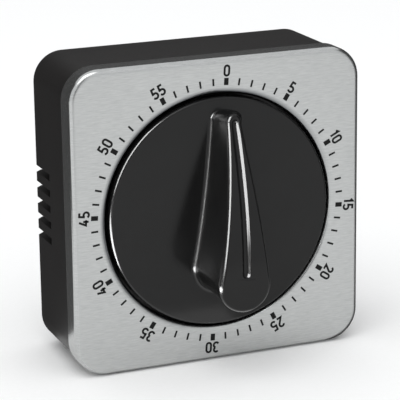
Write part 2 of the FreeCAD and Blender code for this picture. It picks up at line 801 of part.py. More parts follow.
def make_cover_fasteners():
    """Four slotted screws through the cover into the case, and the two magnets in their pockets."""
    screws = []
    for index, (x, y) in enumerate(four_corners("boss_x", "boss_y")):
        head = cylinder(f"cover_head_{index}", "screw_head_radius", "cover_back + screw_head_height",
                        "cover_back", x, y)
        shank = cylinder(f"cover_shank_{index}", "screw_shank_radius", "case_rim + screw_length - 0.5",
                         "cover_back", x, y)
        slot = bar(f"cover_slot_{index}", "2 * screw_head_radius + 1", "0.6", "cover_back + 0.6",
                   "cover_back - 1", x, y)
        screws.append(cut(f"cover_screw_{index}", fuse(f"cover_blank_{index}", [head, shank]), [slot]))
    finish("cover_screws", group("cover_screws", screws))
    magnets = [
        bar(f"magnet_{index}", "magnet_length", "magnet_height", "cover_back + magnet_thickness",
            "cover_back",
            "0", f"{sign}magnet_offset")
        for index, sign in enumerate(("", "-"))
    ]
    finish("magnets", group("magnets", magnets))


# ---- knob ----

def make_knob():
    """Moulded disc with a skirt behind, a hub for the arbor, and a ramped grip with a pointer groove."""
    owner = body("knob")
    turn(owner, "knob_disc", [
        ("0", "knob_face"), ("knob_radius", "knob_face"), ("knob_radius", "knob_rim"),
        ("knob_radius - knob_skirt", "knob_rim"), ("knob_radius - knob_skirt", "knob_under"),
        ("hub_radius", "knob_under"), ("hub_radius", "hub_end"), ("0", "hub_end"),
    ])
    face, radius = number("knob_face"), number("knob_radius")
    round_edges(owner, "knob_edge_round", "knob_edge",
                lambda point: near(point.z, face) and near(math.hypot(point.x, point.y), radius))
    add_grip(owner)
    bore = sketch(owner, "arbor_bore_outline", level="arbor_reach")
    draw_flatted_circle(bore, "arbor_radius", "arbor_flat")
    remove(owner, "arbor_bore", bore, "arbor_reach - hub_end")
    lug = sketch(owner, "knob_lug_outline", level="knob_under")
    draw_polygon(lug, radial_outline("(-90)", "lug_radius - lug_length / 2", "lug_radius + lug_length / 2",
                                     "lug_width"))
    add(owner, "knob_lug", lug, "knob_under - knob_rim")
    finish("knob", owner, turned="dial_turn")


RAMP_CURVE = 1.665
FLANK_CURVE = 1.24
BASE_CURVE = 2.13


def grip_section(share):
    """Half widths and height of the grip at a share of the way from its tip to its round tail."""
    height = f"grip_height - grip_drop * pow({1 - share}; {RAMP_CURVE})"
    top = f"tip_top + (tail_top - tip_top) * pow({share}; {FLANK_CURVE})"
    base = f"tip_base + (tail_base - tip_base) * pow({share}; {BASE_CURVE})"
    return height, top, base


def loft(owner, name, kind, shares, outline):
    """A loft through sketches that stand across the grip at shares of its length."""
    sections = []
    for index, share in enumerate(shares):
        place = f"-(grip_front - (grip_front + grip_back) * {share})"
        drawing = sketch(owner, f"{name}_{index}", "XZ_Plane", place)
        draw_polygon(drawing, outline(share))
        sections.append(drawing)
    document.recompute()
    feature = owner.newObject(kind, name)
    feature.Profile = sections[0]
    feature.Sections = sections[1:]
    feature.Ruled = False
    document.recompute()
    return feature


def add_grip(owner):
    """A wedge that rises and widens from the pointer's tip to a round tail, with a groove along its top."""
    def wedge(share):
        height, top, base = grip_section(share)
        return [(f"-({base})", "0"), (base, "0"), (top, height), (f"-({top})", height)]

    def groove(share):
        height = grip_section(max(share, 0.0))[0]
        half = "groove_width / 2"
        return [(f"-{half}", f"{height} - groove_depth"), (half, f"{height} - groove_depth"),
                (half, "grip_height + 2"), (f"-{half}", "grip_height + 2")]

    loft(owner, "grip_wedge", "PartDesign::AdditiveLoft", [0.0, 0.15, 0.35, 0.55, 0.75, 1.0], wedge)
    tail = owner.newObject("PartDesign::AdditiveCone", "grip_tail")
    tail.AttachmentSupport = [([item for item in owner.Origin.OriginFeatures if item.Role == "XY_Plane"][0],
                               "")]
    tail.MapMode = "FlatFace"
    bind(tail, Radius1="tail_base", Radius2="tail_top", Height="grip_height")
    bind(tail, AttachmentOffset__Base__y="-grip_back")
    document.recompute()
    groove_share = number("(grip_front + groove_end) / (grip_front + grip_back)")
    loft(owner, "grip_groove", "PartDesign::SubtractiveLoft",
         [groove_share * step / 4 for step in range(5)], groove)


def make_knob_clip():
    """Split spring ring that squeezes the knob's hub on the arbor."""
    front, back = "knob_under - 0.6", "knob_under - 0.6 - clip_height"
    ring = cylinder("clip_outside", "hub_radius + clip_thickness", front, back)
    hole = cylinder("clip_inside", "hub_radius", front, back)
    gap = bar("clip_gap", "2 * hub_radius", "1.2", front, back, "hub_radius")
    finish("knob_clip", cut("knob_clip", ring, [hole, gap]), turned="dial_turn")


# ---- movement frame ----

def pivot_places():
    return {name: (f"{name}_x", f"{name}_y") for name in ("second", "third", "escape", "pallet", "balance",
                                                          "alarm")}


def make_movement_plates():
    """Front and rear plates of the movement with their bearing, screw and pillar holes."""
    for label, level, main_bore, screw_bore, hammer_bore in (
        ("front_movement_plate", "plate_one", "arbor_radius", "mount_screw_radius + 0.2", "pivot_radius"),
        ("rear_movement_plate", "plate_two", "arbor_pivot", "mount_screw_head + 0.3", "train_arbor"),
    ):
        owner = body(label)
        outline = sketch(owner, label + "_outline", level=level)
        draw_rounded_rectangle(outline, "movement_side", "movement_side", "movement_corner")
        add(owner, label + "_sheet", outline, "movement_sheet")
        holes = sketch(owner, label + "_holes", level=level)
        draw_circle(holes, f"{main_bore} + pivot_fit")
        draw_circle(holes, f"{hammer_bore} + pivot_fit", "hammer_x", "hammer_y")
        draw_circle(holes, "train_arbor + pivot_fit", "release_x", "release_y")
        for x, y in pivot_places().values():
            draw_circle(holes, "pivot_radius + pivot_fit", x, y)
        for place in four_corners("mount_screw_offset", "mount_screw_offset"):
            draw_circle(holes, screw_bore, *place)
        for place in four_corners("pillar_place", "pillar_place"):
            draw_circle(holes, "stud_radius", *place)
        if label == "front_movement_plate":
            draw_circle(holes, "stud_radius / 2", "post_x", "post_y")
        remove(owner, label + "_bores", holes, "movement_sheet")
        finish(label, owner)


def make_movement_fasteners():
    """Pillars with studs, their nuts, and the screws that hold the movement in the case."""
    pillars, nuts, screws = [], [], []
    for index, (x, y) in enumerate(four_corners("pillar_place", "pillar_place")):
        shoulder = cylinder(f"pillar_{index}_body", "pillar_radius", "plate_one_back", "plate_two", x, y)
        stud = cylinder(f"pillar_{index}_stud", "stud_radius", "plate_one",
                        "plate_two_back - nut_height - 0.2", x, y)
        pillars.append(fuse(f"pillar_{index}", [shoulder, stud]))
        hexagon = document.addObject("Part::Prism", f"nut_{index}_hexagon")
        hexagon.Polygon = 6
        bind(hexagon, Circumradius="nut_radius", Height="nut_height")
        bind(hexagon, Placement__Base__x=x, Placement__Base__y=y)
        bind(hexagon, Placement__Base__z="plate_two_back - nut_height")
        bore = cylinder(f"nut_{index}_bore", "stud_radius", "plate_two_back", "plate_two_back - nut_height",
                        x, y)
        nuts.append(cut(f"nut_{index}", hexagon, [bore]))
    for index, (x, y) in enumerate(four_corners("mount_screw_offset", "mount_screw_offset")):
        head = cylinder(f"mount_head_{index}", "mount_screw_head", "plate_one_back",
                        "plate_one_back - mount_screw_head_height", x, y)
        shank = cylinder(f"mount_shank_{index}", "mount_screw_radius", "plate_one + mount_screw_grip",
                         "plate_one_back", x, y)
        screws.append(fuse(f"mount_screw_{index}", [head, shank]))
    finish("movement_pillars", group("movement_pillars", pillars))
    finish("pillar_nuts", group("pillar_nuts", nuts))
    finish("movement_screws", group("movement_screws", screws))


# ---- main arbor and what it carries ----

def make_main_arbor():
    """Steel arbor: flatted end in the knob, journal in the front plate, pivot in the rear plate."""
    journal = cylinder("arbor_journal", "arbor_radius", "arbor_reach", "plate_two + 0.1")
    pivot = cylinder("arbor_pivot_end", "arbor_pivot", "plate_two + 0.2", "plate_two_back - arbor_tail")
    flat = bar("arbor_flat_cut", "arbor_radius", "2 * arbor_radius", "arbor_reach", "hub_end",
               "arbor_flat + arbor_radius / 2")
    finish("main_arbor", cut("main_arbor", fuse("arbor_blank", [journal, pivot]), [flat]), turned="dial_turn")


def make_strike_cam():
    """Steel disc with one notch, which the release lever's nose drops into at zero."""
    owner = body("strike_cam")
    outline = sketch(owner, "cam_outline", level="cam_front")
    draw_circle(outline, "cam_radius")
    draw_circle(outline, "arbor_radius")
    add(owner, "cam_disc", outline, "cam_thickness")
    notch = sketch(owner, "notch_outline", level="cam_front")
    draw_polygon(notch, radial_outline("(nose_bearing - 3 + dial_turn)", "cam_radius - notch_depth",
                                       "cam_radius + 1",
                                       "2 * cam_radius * sin(notch_angle / 2)"))
    remove(owner, "notch", notch, "cam_thickness")
    finish("strike_cam", owner, turned="dial_turn")


def make_main_wheel():
    """Brass great wheel, with the ratchet wheel and its click behind it."""
    phase = number("second_bearing + dial_turn")
    great = wheel("main_wheel", "main_teeth", "main_module", phase, "main_front", "main_back", "0", "0",
                  "arbor_radius", 5, "2.0", "8.8")
    finish("main_wheel", great, turned="dial_turn")
    radius = number("ratchet_radius")
    face = pointed_face(int(number("ratchet_teeth")), radius, radius - 0.7, -0.2, 0.0, 0.0, 0.0)
    blank = prism("ratchet_blank", face, "main_back", "ratchet_back")
    bore = cylinder("ratchet_bore", "arbor_radius", "main_back", "ratchet_back")
    finish("ratchet_wheel", cut("ratchet_wheel", blank, [bore]), turned="dial_turn")
    pawl = [("ratchet_radius + 0.15", "0.7"), ("ratchet_radius + 1.1", "1.3"), ("ratchet_radius + 3", "1.3"),
            ("ratchet_radius + 3.6", "0.2"), ("ratchet_radius + 3", "-0.9"), ("ratchet_radius + 1.1", "-0.9")]
    click = plate_from("click", at_bearing(pawl, "0", "0", "40"), "main_back", "ratchet_back",
                       [("0.4", *at_bearing([("ratchet_radius + 2.4", "0.2")], "0", "0", "40")[0])])
    finish("click", click, turned="dial_turn")


# ---- going train ----

def make_train():
    """Second, third and escape wheels on their pinions, each in mesh with the one before."""
    second, third, escape = (number(f"{name}_bearing") for name in ("second", "third", "escape"))
    main_teeth, teeth, leaves = (int(number(name)) for name in ("main_teeth", "train_teeth", "pinion_leaves"))
    first_back = "first_layer - train_thickness"
    last_back = "last_layer - train_thickness"
    finish("second_pinion", pinion("second_pinion", "main_module",
                                   meshing_phase(second, second, main_teeth, leaves),
                                   "main_front + layer_gap", "main_back - 0.3", "second_x", "second_y"))
    finish("second_wheel", wheel("second_wheel", "train_teeth", "train_module", third, "first_layer",
                                 first_back,
                                 "second_x", "second_y", "train_arbor", 5, "1.9", "5.4"))
    finish("third_pinion", pinion("third_pinion", "train_module", meshing_phase(third, third, teeth, leaves),
                                  "first_layer + 0.1", f"{first_back} - 0.3", "third_x", "third_y"))
    finish("third_wheel", wheel("third_wheel", "train_teeth", "train_module", escape, "last_layer", last_back,
                                "third_x", "third_y", "train_arbor", 5, "1.9", "5.4"))
    finish("escape_pinion", pinion("escape_pinion", "train_module",
                                   meshing_phase(escape, escape, teeth, leaves),
                                   "last_layer + 0.3", f"{last_back} - 0.1", "escape_x", "escape_y"))
    quarter = 90.0 / number("escape_teeth")
    face = pointed_face(int(number("escape_teeth")), number("escape_radius"), number("escape_root"), 0.0,
                        number("fork_bearing + pallet_span / 2") + quarter,
                        number("escape_x"), number("escape_y"))
    back = "escape_front - train_thickness"
    tools = [cylinder("escape_bore", "train_arbor", "escape_front", back, "escape_x", "escape_y")]
    for index in range(4):
        x, y = at_bearing([("1.85", "0")], "escape_x", "escape_y", f"({index} * 90)")[0]
        tools.append(cylinder(f"escape_window_{index}", "0.75", "escape_front", back, x, y))
    finish("escape_wheel", cut("escape_wheel", prism("escape_blank", face, "escape_front", back), tools))


def make_lever():
    """Pin-pallet lever: a flat fork with two steel pins, on its own arbor."""
    half = mirrored([
        ("fork_reach - 0.6", "fork_slot"), ("fork_reach + 0.7", "fork_slot"), ("fork_reach + 0.7",
                                                                               "fork_slot + 0.5"),
        ("fork_reach - 1.1", "fork_slot + 0.5"), ("1.4", "0.5"), ("0.6", "1"), ("pin_reach + 0.5",
                                                                                "pin_spread + 0.4"),
        ("pin_reach - 0.4", "pin_spread + 0.4"), ("pin_reach - 0.4", "pin_spread - 0.3"), ("-0.8", "0.5"),
    ])
    outline = at_bearing(half, "pallet_x", "pallet_y", "fork_bearing")
    pins = at_bearing([("pin_reach", "pin_spread"), ("pin_reach", "-pin_spread")], "pallet_x", "pallet_y",
                      "fork_bearing")
    bores = [("train_arbor", "pallet_x", "pallet_y")] + [("pallet_pin_radius", x, y) for x, y in pins]
    finish("pallet_lever", plate_from("pallet_lever", outline, "lever_front", "lever_back", bores))
    back = "escape_front - train_thickness - layer_gap"
    finish("pallet_pins", group("pallet_pins", [
        cylinder(f"pallet_pin_{index}", "pallet_pin_radius", "lever_front", back, x, y)
        for index, (x, y) in enumerate(pins)
    ]))
    finish("pallet_arbor", fuse("pallet_arbor", pivoted_arbor("pallet_arbor", "train_arbor", "pallet_x",
                                                              "pallet_y")))


def make_balance():
    """Balance wheel, its staff, the roller with the impulse pin, and the hairspring with its stud."""
    place = ("balance_x", "balance_y")
    levels_of_rim = ("balance_front", "balance_back")
    rim = cut("balance_ring", cylinder("balance_outside", "balance_radius", *levels_of_rim, *place),
              [cylinder("balance_inside", "balance_radius - balance_rim", *levels_of_rim, *place)])
    across = "2 * (balance_radius - balance_rim / 2)"
    arms = [bar("balance_arm_one", across, "0.9", *levels_of_rim, *place),
            bar("balance_arm_two", "0.9", across, *levels_of_rim, *place)]
    hub = cylinder("balance_hub", "1.5", *levels_of_rim, *place)
    bore = cylinder("balance_bore", "train_arbor", *levels_of_rim, *place)
    finish("balance_wheel", cut("balance_wheel", fuse("balance_blank", [rim, hub, *arms]), [bore]))
    collet = cylinder("balance_collet", "collet_radius", "hairspring_front + 0.1", "balance_front", *place)
    finish("balance_staff", fuse("balance_staff", [collet,
                                                   *pivoted_arbor("balance_axle", "train_arbor", *place)]))
    disc = cylinder("roller_disc", "impulse_radius + impulse_pin_radius + 0.25", "balance_back",
                    "roller_back", *place)
    pin_x, pin_y = at_bearing([("-impulse_radius", "0")], *place, "fork_bearing")[0]
    pin = cylinder("impulse_pin", "impulse_pin_radius", "balance_back - 0.1", "lever_back - 0.2", pin_x,
                   pin_y)
    hole = cylinder("roller_bore", "train_arbor", "balance_back", "roller_back", *place)
    finish("impulse_roller", cut("impulse_roller", fuse("roller_blank", [disc, pin]), [hole]))
    face = spiral_face(number("collet_radius + 0.1"), number("hairspring_radius"), number("hairspring_strip"),
                       int(number("hairspring_turns")), 90.0, number("balance_x"), number("balance_y"))
    finish("hairspring", prism("hairspring", face, "hairspring_front",
                               "hairspring_front - hairspring_height"))
    stud_place = "balance_y + hairspring_radius + hairspring_strip + pivot_radius"
    stud = cylinder("hairspring_stud_pin", "pivot_radius", "plate_one_back",
                    "hairspring_front - hairspring_height - 0.1", "balance_x", stud_place)
    finish("hairspring_stud", group("hairspring_stud", [stud]))


def make_mainspring():
    """Blue steel strip coiled round the arbor; its outer end is an eye on a post."""
    outer = number("post_distance - eye_radius")
    face = spiral_face(number("spring_inner"), outer, number("spring_strip"), int(number("spring_turns")),
                       number("post_bearing"), 0.0, 0.0)
    span = ("spring_front", "spring_back")
    coil = prism("spring_coil", face, *span)
    eye = cylinder("spring_eye", "eye_radius", *span, "post_x", "post_y")
    hole = cylinder("spring_eye_hole", "post_radius", *span, "post_x", "post_y")
    finish("mainspring", cut("mainspring", fuse("spring_blank", [coil, eye]), [hole]))
    post = cylinder("spring_post_body", "post_radius", "plate_one_back", "spring_back - 0.1", "post_x",
                    "post_y")
    spigot = cylinder("spring_post_spigot", "stud_radius / 2", "plate_one", "plate_one_back - 0.5",
                      "post_x", "post_y")
    finish("spring_post", fuse("spring_post", [post, spigot]))


# ---- alarm ----

def make_bell():
    """Pressed steel gong, screwed to a turned post behind the rear plate."""
    owner = body("bell")
    inner = "bell_radius - bell_wall"
    turn(owner, "bell_cup", [
        ("bell_radius", "bell_edge"), ("bell_radius", "bell_back + bell_dome"), ("bell_radius - bell_dome",
                                                                                 "bell_back"),
        ("bell_screw_radius", "bell_back"), ("bell_screw_radius", "bell_back + bell_wall"),
        (f"{inner} - bell_dome + bell_wall / 2", "bell_back + bell_wall"),
        (inner, "bell_back + bell_dome + bell_wall / 2"), (inner, "bell_edge"),
    ])
    finish("bell", owner)
    post = body("bell_post")
    recess = "plate_two_back - arbor_tail - 0.6"
    end = "bell_back + bell_wall"
    turn(post, "post_shape", [
        ("0", recess), ("bell_post_recess", recess), ("bell_post_recess", "plate_two_back"),
        ("bell_post_radius + 1.4", "plate_two_back"), ("bell_post_radius + 1.4", "plate_two_back - 1.2"),
        ("bell_post_radius", "plate_two_back - 1.2"), ("bell_post_radius", end), ("bell_screw_radius", end),
        ("bell_screw_radius", f"{end} + bell_screw_length"), ("0", f"{end} + bell_screw_length"),
    ])
    finish("bell_post", post)
    head = cylinder("bell_screw_head_disc", "bell_screw_head", "bell_back",
                    "bell_back - bell_screw_head_height")
    shank = cylinder("bell_screw_shank", "bell_screw_radius", f"{end} + bell_screw_length - 0.2", "bell_back")
    slot = bar("bell_screw_slot", "2 * bell_screw_head + 1", "0.5", "bell_back - 0.5", "bell_back - 2")
    finish("bell_screw", cut("bell_screw", fuse("bell_screw_blank", [head, shank]), [slot]))


def make_alarm():
    """Star wheel driven by the great wheel, and the hammer with its verge."""
    phase = meshing_phase(number("alarm_bearing"), number("second_bearing"), int(number("main_teeth")),
                          int(number("pinion_leaves")))
    finish("alarm_pinion", pinion("alarm_pinion", "main_module", phase, "main_front + layer_gap",
                                  "main_back - 0.3",
                                  "alarm_x", "alarm_y"))
    back = "last_layer - train_thickness"
    face = pointed_face(int(number("star_teeth")), number("star_radius"), number("star_radius") - 1.3, 0.0,
                        0.0,
                        number("alarm_x"), number("alarm_y"))
    bore = cylinder("star_bore", "train_arbor", "last_layer", back, "alarm_x", "alarm_y")
    finish("star_wheel", cut("star_wheel", prism("star_blank", face, "last_layer", back), [bore]))
    place = ("hammer_x", "hammer_y")
    staff = cylinder("hammer_staff", "train_arbor", "plate_one_back - 0.1", "head_front", *place)
    pivot = cylinder("hammer_pivot", "pivot_radius", "plate_one - 0.1", "plate_one_back - 0.2", *place)
    finish("hammer_arbor", fuse("hammer_arbor", [staff, pivot]))
    arm = mirrored([("-5.5", "0.7"), ("hammer_reach + 1.2", "0.7")])
    finish("hammer_arm", plate_from("hammer_arm", at_bearing(arm, *place, "hammer_rest"), "hammer_front",
                                    "head_front", [("train_arbor", *place)]))
    head_x, head_y = at_bearing([("hammer_reach", "0")], *place, "hammer_rest")[0]
    head = cylinder("hammer_head_slug", "hammer_head_radius", "head_front", "head_back", head_x, head_y)
    finish("hammer_head", group("hammer_head", [head]))
    anchor = mirrored([("2.4", "2.4"), ("2.2", "3"), ("1", "2.6"), ("0.9", "0.9"), ("-0.9", "0.9")])
    anchor = [("1.8", "-2"), ("1.8", "2")] + anchor
    finish("strike_verge", plate_from("strike_verge", at_bearing(anchor, *place, "verge_bearing"),
                                      "last_layer",
                                      back, [("train_arbor", *place)]))


def make_release():
    """Lever that rests on the cam's rim, its arbor, and the arm that holds the hammer."""
    place = ("release_x", "release_y")
    staff = cylinder("release_staff", "train_arbor", "cam_front", "head_front", *place)
    finish("release_arbor", group("release_arbor", [staff]))
    half = "nose_width / 2"
    lever = [("-1.4", "-1.2"), ("1.2", "-1.2"), ("2", "0.9"), (f"release_length - {half}", "0.9"),
             (f"release_length - {half}", "0"), (f"release_length + {half}", "0"),
             (f"release_length + {half}", "2.3"), ("1.5", "2.3"), ("-1.4", "1.2")]
    bores = [("train_arbor", *place)]
    finish("release_lever", plate_from("release_lever", at_bearing(lever, *place, "(nose_bearing - 90)"),
                                       "cam_front", "cam_back", bores))
    arm = mirrored([("-1.3", "1.1"), ("1.3", "1.1"), ("11.2", "0.5")])
    finish("release_arm", plate_from("release_arm", at_bearing(arm, *place, "(-45)"), "hammer_front",
                                     "head_front", bores))


for make in (make_face_plate, make_case, make_back_cover, make_cover_fasteners, make_knob, make_knob_clip,
             make_movement_plates, make_movement_fasteners, make_main_arbor, make_strike_cam, make_main_wheel,
             make_train, make_lever, make_balance, make_mainspring, make_bell, make_alarm, make_release):
    make()

document.recompute()
for item in document.Objects:
    if "Invalid" in item.State or "Error" in item.State:
        raise RuntimeError(f"{item.Name} failed: {item.State}")
for piece in finished:
    if piece.Shape.isNull() or not piece.Shape.isValid() or not piece.Shape.Solids:
        raise RuntimeError(f"{piece.Label} has no valid shape")
os.makedirs("parts", exist_ok=True)
for piece in finished:
    piece.Shape.exportStep(f"parts/{piece.Label}.step")
    print(f"{piece.Label}: {len(piece.Shape.Solids)} solids, {piece.Shape.Volume:.1f} mm3")
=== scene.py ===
import math

import bmesh
import bpy
from mathutils import Matrix, Vector


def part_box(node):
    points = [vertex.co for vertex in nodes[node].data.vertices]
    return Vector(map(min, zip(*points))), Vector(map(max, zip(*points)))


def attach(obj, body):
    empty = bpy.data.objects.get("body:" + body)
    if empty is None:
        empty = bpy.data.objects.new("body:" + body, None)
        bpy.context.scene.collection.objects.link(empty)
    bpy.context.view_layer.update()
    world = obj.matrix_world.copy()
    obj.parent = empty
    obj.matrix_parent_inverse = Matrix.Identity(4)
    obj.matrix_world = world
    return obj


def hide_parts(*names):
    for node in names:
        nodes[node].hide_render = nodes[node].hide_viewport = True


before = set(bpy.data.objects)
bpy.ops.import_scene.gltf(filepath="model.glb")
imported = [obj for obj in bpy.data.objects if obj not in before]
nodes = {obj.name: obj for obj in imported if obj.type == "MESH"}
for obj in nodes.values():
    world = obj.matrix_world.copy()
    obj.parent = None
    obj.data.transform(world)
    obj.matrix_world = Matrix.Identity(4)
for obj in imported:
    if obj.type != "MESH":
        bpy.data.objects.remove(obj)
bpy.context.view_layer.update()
scene = bpy.context.scene

# Camera: a long lens half a metre away, a little above the timer and to its
# left, so that the left wall and the top of the case show beside the dial.
camera_place = Vector((-0.18330, -0.45710, 0.17795))
camera_aim = Vector((-0.00405, -0.01253, 0.04065))
camera_lean = math.radians(-0.79)
camera_data = bpy.data.cameras.new("camera")
camera_data.sensor_width = 36.0
camera_data.lens = 185.3
camera = bpy.data.objects.new("camera", camera_data)
scene.collection.objects.link(camera)
camera.location = camera_place
camera.rotation_euler = (camera_aim - camera_place).to_track_quat("-Z", "Y").to_euler()
camera.rotation_euler.rotate_axis("Z", camera_lean)
scene.camera = camera


# Floor: a matt white table top, wide enough to fill the view behind the timer.
# The paper has a faint tooth, which only softens its shading.
def linear(code):
    """The linear colour of an sRGB hex value such as "#b4b6b8"."""
    parts = [int(code[i:i + 2], 16) / 255 for i in (1, 3, 5)]
    return [p / 12.92 if p <= 0.04045 else ((p + 0.055) / 1.055) ** 2.4 for p in parts] + [1.0]


def add_node(material, kind, settings, inputs):
    """Adds one node with its settings, and sets or links each of the named inputs."""
    node = material.node_tree.nodes.new(kind)
    for name, value in settings.items():
        setattr(node, name, value)
    for name, value in inputs.items():
        if isinstance(value, bpy.types.NodeSocket):
            material.node_tree.links.new(value, node.inputs[name])
        else:
            node.inputs[name].default_value = value
    return node


def new_material(name, metallic=0.0, roughness=0.5):
    """A material with a Principled shader, and the shader's node."""
    material = bpy.data.materials.new(name)
    material.use_nodes = True
    shader = material.node_tree.nodes["Principled BSDF"]
    shader.inputs["Metallic"].default_value = metallic
    shader.inputs["Roughness"].default_value = roughness
    return material, shader


def new_piece(name, mesh_builder, material):
    """Turns a finished bmesh into an object that sits at the origin."""
    mesh = bpy.data.meshes.new(name)
    mesh_builder.to_mesh(mesh)
    mesh_builder.free()
    mesh.materials.append(material)
    piece = bpy.data.objects.new(name, mesh)
    scene.collection.objects.link(piece)
    return piece


floor_half = 3.0
paper_white, paper = new_material("matt_white_paper", roughness=0.9)
place = add_node(paper_white, "ShaderNodeTexCoord", {}, {})
tooth = add_node(paper_white, "ShaderNodeTexNoise", {},
                 {"Vector": place.outputs["Object"], "Scale": 900.0})
shade = add_node(paper_white, "ShaderNodeMix", {"data_type": "RGBA"},
                 {"Factor": tooth.outputs["Fac"], 6: linear("#f4f4f3"), 7: linear("#f8f8f8")})
paper_white.node_tree.links.new(shade.outputs[2], paper.inputs["Base Color"])
build = bmesh.new()
bmesh.ops.create_grid(build, x_segments=1, y_segments=1, size=floor_half)
bmesh.ops.translate(build, verts=build.verts, vec=(0, 0, -0.0001))
floor = new_piece("floor", build, paper_white)


# Studio light: an even white room with one softbox above at the left, and
# panels at the left that light only the knob and draw its fine highlights.
def area_light(name, place, aim, size, radiance):
    """A rectangular area light of that size and brightness, which faces its aim."""
    data = bpy.data.lights.new(name, "AREA")
    data.shape = "RECTANGLE"
    data.size, data.size_y = size
    data.energy = radiance * math.pi * size[0] * size[1]
    light = bpy.data.objects.new(name, data)
    light.location = place
    light.rotation_euler = (Vector(aim) - Vector(place)).to_track_quat("-Z", "Y").to_euler()
    light.visible_camera = False
    scene.collection.objects.link(light)
    return light


knob_lit = bpy.data.collections.new("knob_lit")
area_light("upper_softbox", (-0.35, -0.45, 1.1), (0, 0, 0), (0.9, 0.9), 2.0)
table_panel = area_light("table_panel", (-0.17, -0.03, 0.002), (-0.17, -0.03, 1), (0.24, 0.15), 50.0)
foot_panel = area_light("foot_panel", (-0.025, -0.027, 0.002), (-0.025, -0.027, 1), (0.07, 0.022), 1.0)
side_panel = area_light("side_panel", (-0.34, -0.24, 0.30), (0, -0.02, 0.04), (0.30, 0.48), 36.0)
for panel in (table_panel, foot_panel, side_panel):
    panel.light_linking.receiver_collection = knob_lit
    panel.visible_diffuse = False
room = bpy.data.worlds.new("white_room")
room.use_nodes = True
room.node_tree.nodes["Background"].inputs["Color"].default_value = linear("#f6f7f8")
room.node_tree.nodes["Background"].inputs["Strength"].default_value = 1.0
scene.world = room
scene.view_settings.view_transform = "Standard"

# Dark cards, seen only in reflections: a tray with a wall bent round the back
# of the timer keeps the glossy case dark, and a tall one stands by the camera.
tray_radius = 0.17
tray_lift = 0.0004
wall_height = 0.2
wall_end_right, wall_end_left = -0.10, -0.02
card_scale = (0.13, 1, 0.5)
card_turn = math.radians(-22)
card_place = (-0.13, -0.34, 0.25)
card_black, card_shader = new_material("black_card", roughness=1.0)
card_shader.inputs["Base Color"].default_value = linear("#1c1c1c")
card_shader.inputs["Emission Color"].default_value = linear("#ffffff")
card_shader.inputs["Emission Strength"].default_value = 0.07
build = bmesh.new()
bmesh.ops.create_circle(build, cap_ends=True, radius=tray_radius, segments=64)
bmesh.ops.bisect_plane(build, geom=build.verts[:] + build.edges[:] + build.faces[:],
                       plane_co=(0.02, -0.011, 0), plane_no=(-0.39, -1, 0), clear_outer=True)
bmesh.ops.translate(build, verts=build.verts, vec=(0, 0, tray_lift))
tray = new_piece("black_tray", build, card_black)
build = bmesh.new()
bmesh.ops.create_circle(build, cap_ends=False, radius=tray_radius, segments=64)
front = [v for v in build.verts if v.co.y < (wall_end_right if v.co.x > 0 else wall_end_left)]
bmesh.ops.delete(build, geom=front, context="VERTS")
wall = bmesh.ops.extrude_edge_only(build, edges=list(build.edges))["geom"]
bmesh.ops.translate(build, verts=[g for g in wall if isinstance(g, bmesh.types.BMVert)],
                    vec=(0, 0, wall_height))
tray_wall = new_piece("black_wall", build, card_black)
build = bmesh.new()
bmesh.ops.create_grid(build, x_segments=1, y_segments=1, size=0.5)
bmesh.ops.rotate(build, verts=build.verts, cent=(0, 0, 0), matrix=Matrix.Rotation(math.pi / 2, 3, "X"))
bmesh.ops.scale(build, verts=build.verts, vec=card_scale)
bmesh.ops.rotate(build, verts=build.verts, cent=(0, 0, 0), matrix=Matrix.Rotation(card_turn, 3, "Z"))
bmesh.ops.translate(build, verts=build.verts, vec=card_place)
camera_card = new_piece("camera_card", build, card_black)
for card in (tray, tray_wall, camera_card):
    card.visible_camera = False
    card.visible_diffuse = False
    card.visible_shadow = False


# Case: one deep box moulded in black ABS, open at the front, with sound slots
# in its left wall. Its skin is nearly smooth, with a low satin gloss.
def shade(build, crease):
    """Smooth faces, with the edges past the crease angle kept sharp."""
    for face in build.faces:
        face.smooth = True
    for edge in build.edges:
        edge.smooth = edge.is_manifold and edge.calc_face_angle() < math.radians(crease)


def smooth_copy(node, name, material, body):
    """A merged copy of a CAD node that shades smoothly where it curves, in its place."""
    build = bmesh.new()
    build.from_mesh(nodes[node].data)
    bmesh.ops.remove_doubles(build, verts=build.verts, dist=1e-7)
    shade(build, 30)
    piece = new_piece(name, build, material)
    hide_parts(node)
    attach(piece, body)
    return piece


moulded_black, moulded = new_material("black_abs_moulded", roughness=0.34)
place = add_node(moulded_black, "ShaderNodeTexCoord", {}, {})
grain = add_node(moulded_black, "ShaderNodeTexNoise", {"noise_dimensions": "3D"},
                 {"Vector": place.outputs["Object"], "Scale": 2600.0, "Detail": 3.0})
cloud = add_node(moulded_black, "ShaderNodeTexNoise", {},
                 {"Vector": place.outputs["Object"], "Scale": 60.0})
tone = add_node(moulded_black, "ShaderNodeMix", {"data_type": "RGBA"},
                {"Factor": cloud.outputs["Fac"], 6: linear("#141212"), 7: linear("#1b1918")})
skin = add_node(moulded_black, "ShaderNodeMapRange", {},
                {"Value": grain.outputs["Fac"], "To Min": 0.30, "To Max": 0.42})
bump = add_node(moulded_black, "ShaderNodeBump", {},
                {"Height": grain.outputs["Fac"], "Strength": 0.12, "Distance": 0.00003})
moulded_black.node_tree.links.new(tone.outputs[2], moulded.inputs["Base Color"])
moulded_black.node_tree.links.new(skin.outputs["Result"], moulded.inputs["Roughness"])
moulded_black.node_tree.links.new(bump.outputs["Normal"], moulded.inputs["Normal"])
case = smooth_copy("case", "black_case", moulded_black, "housing")

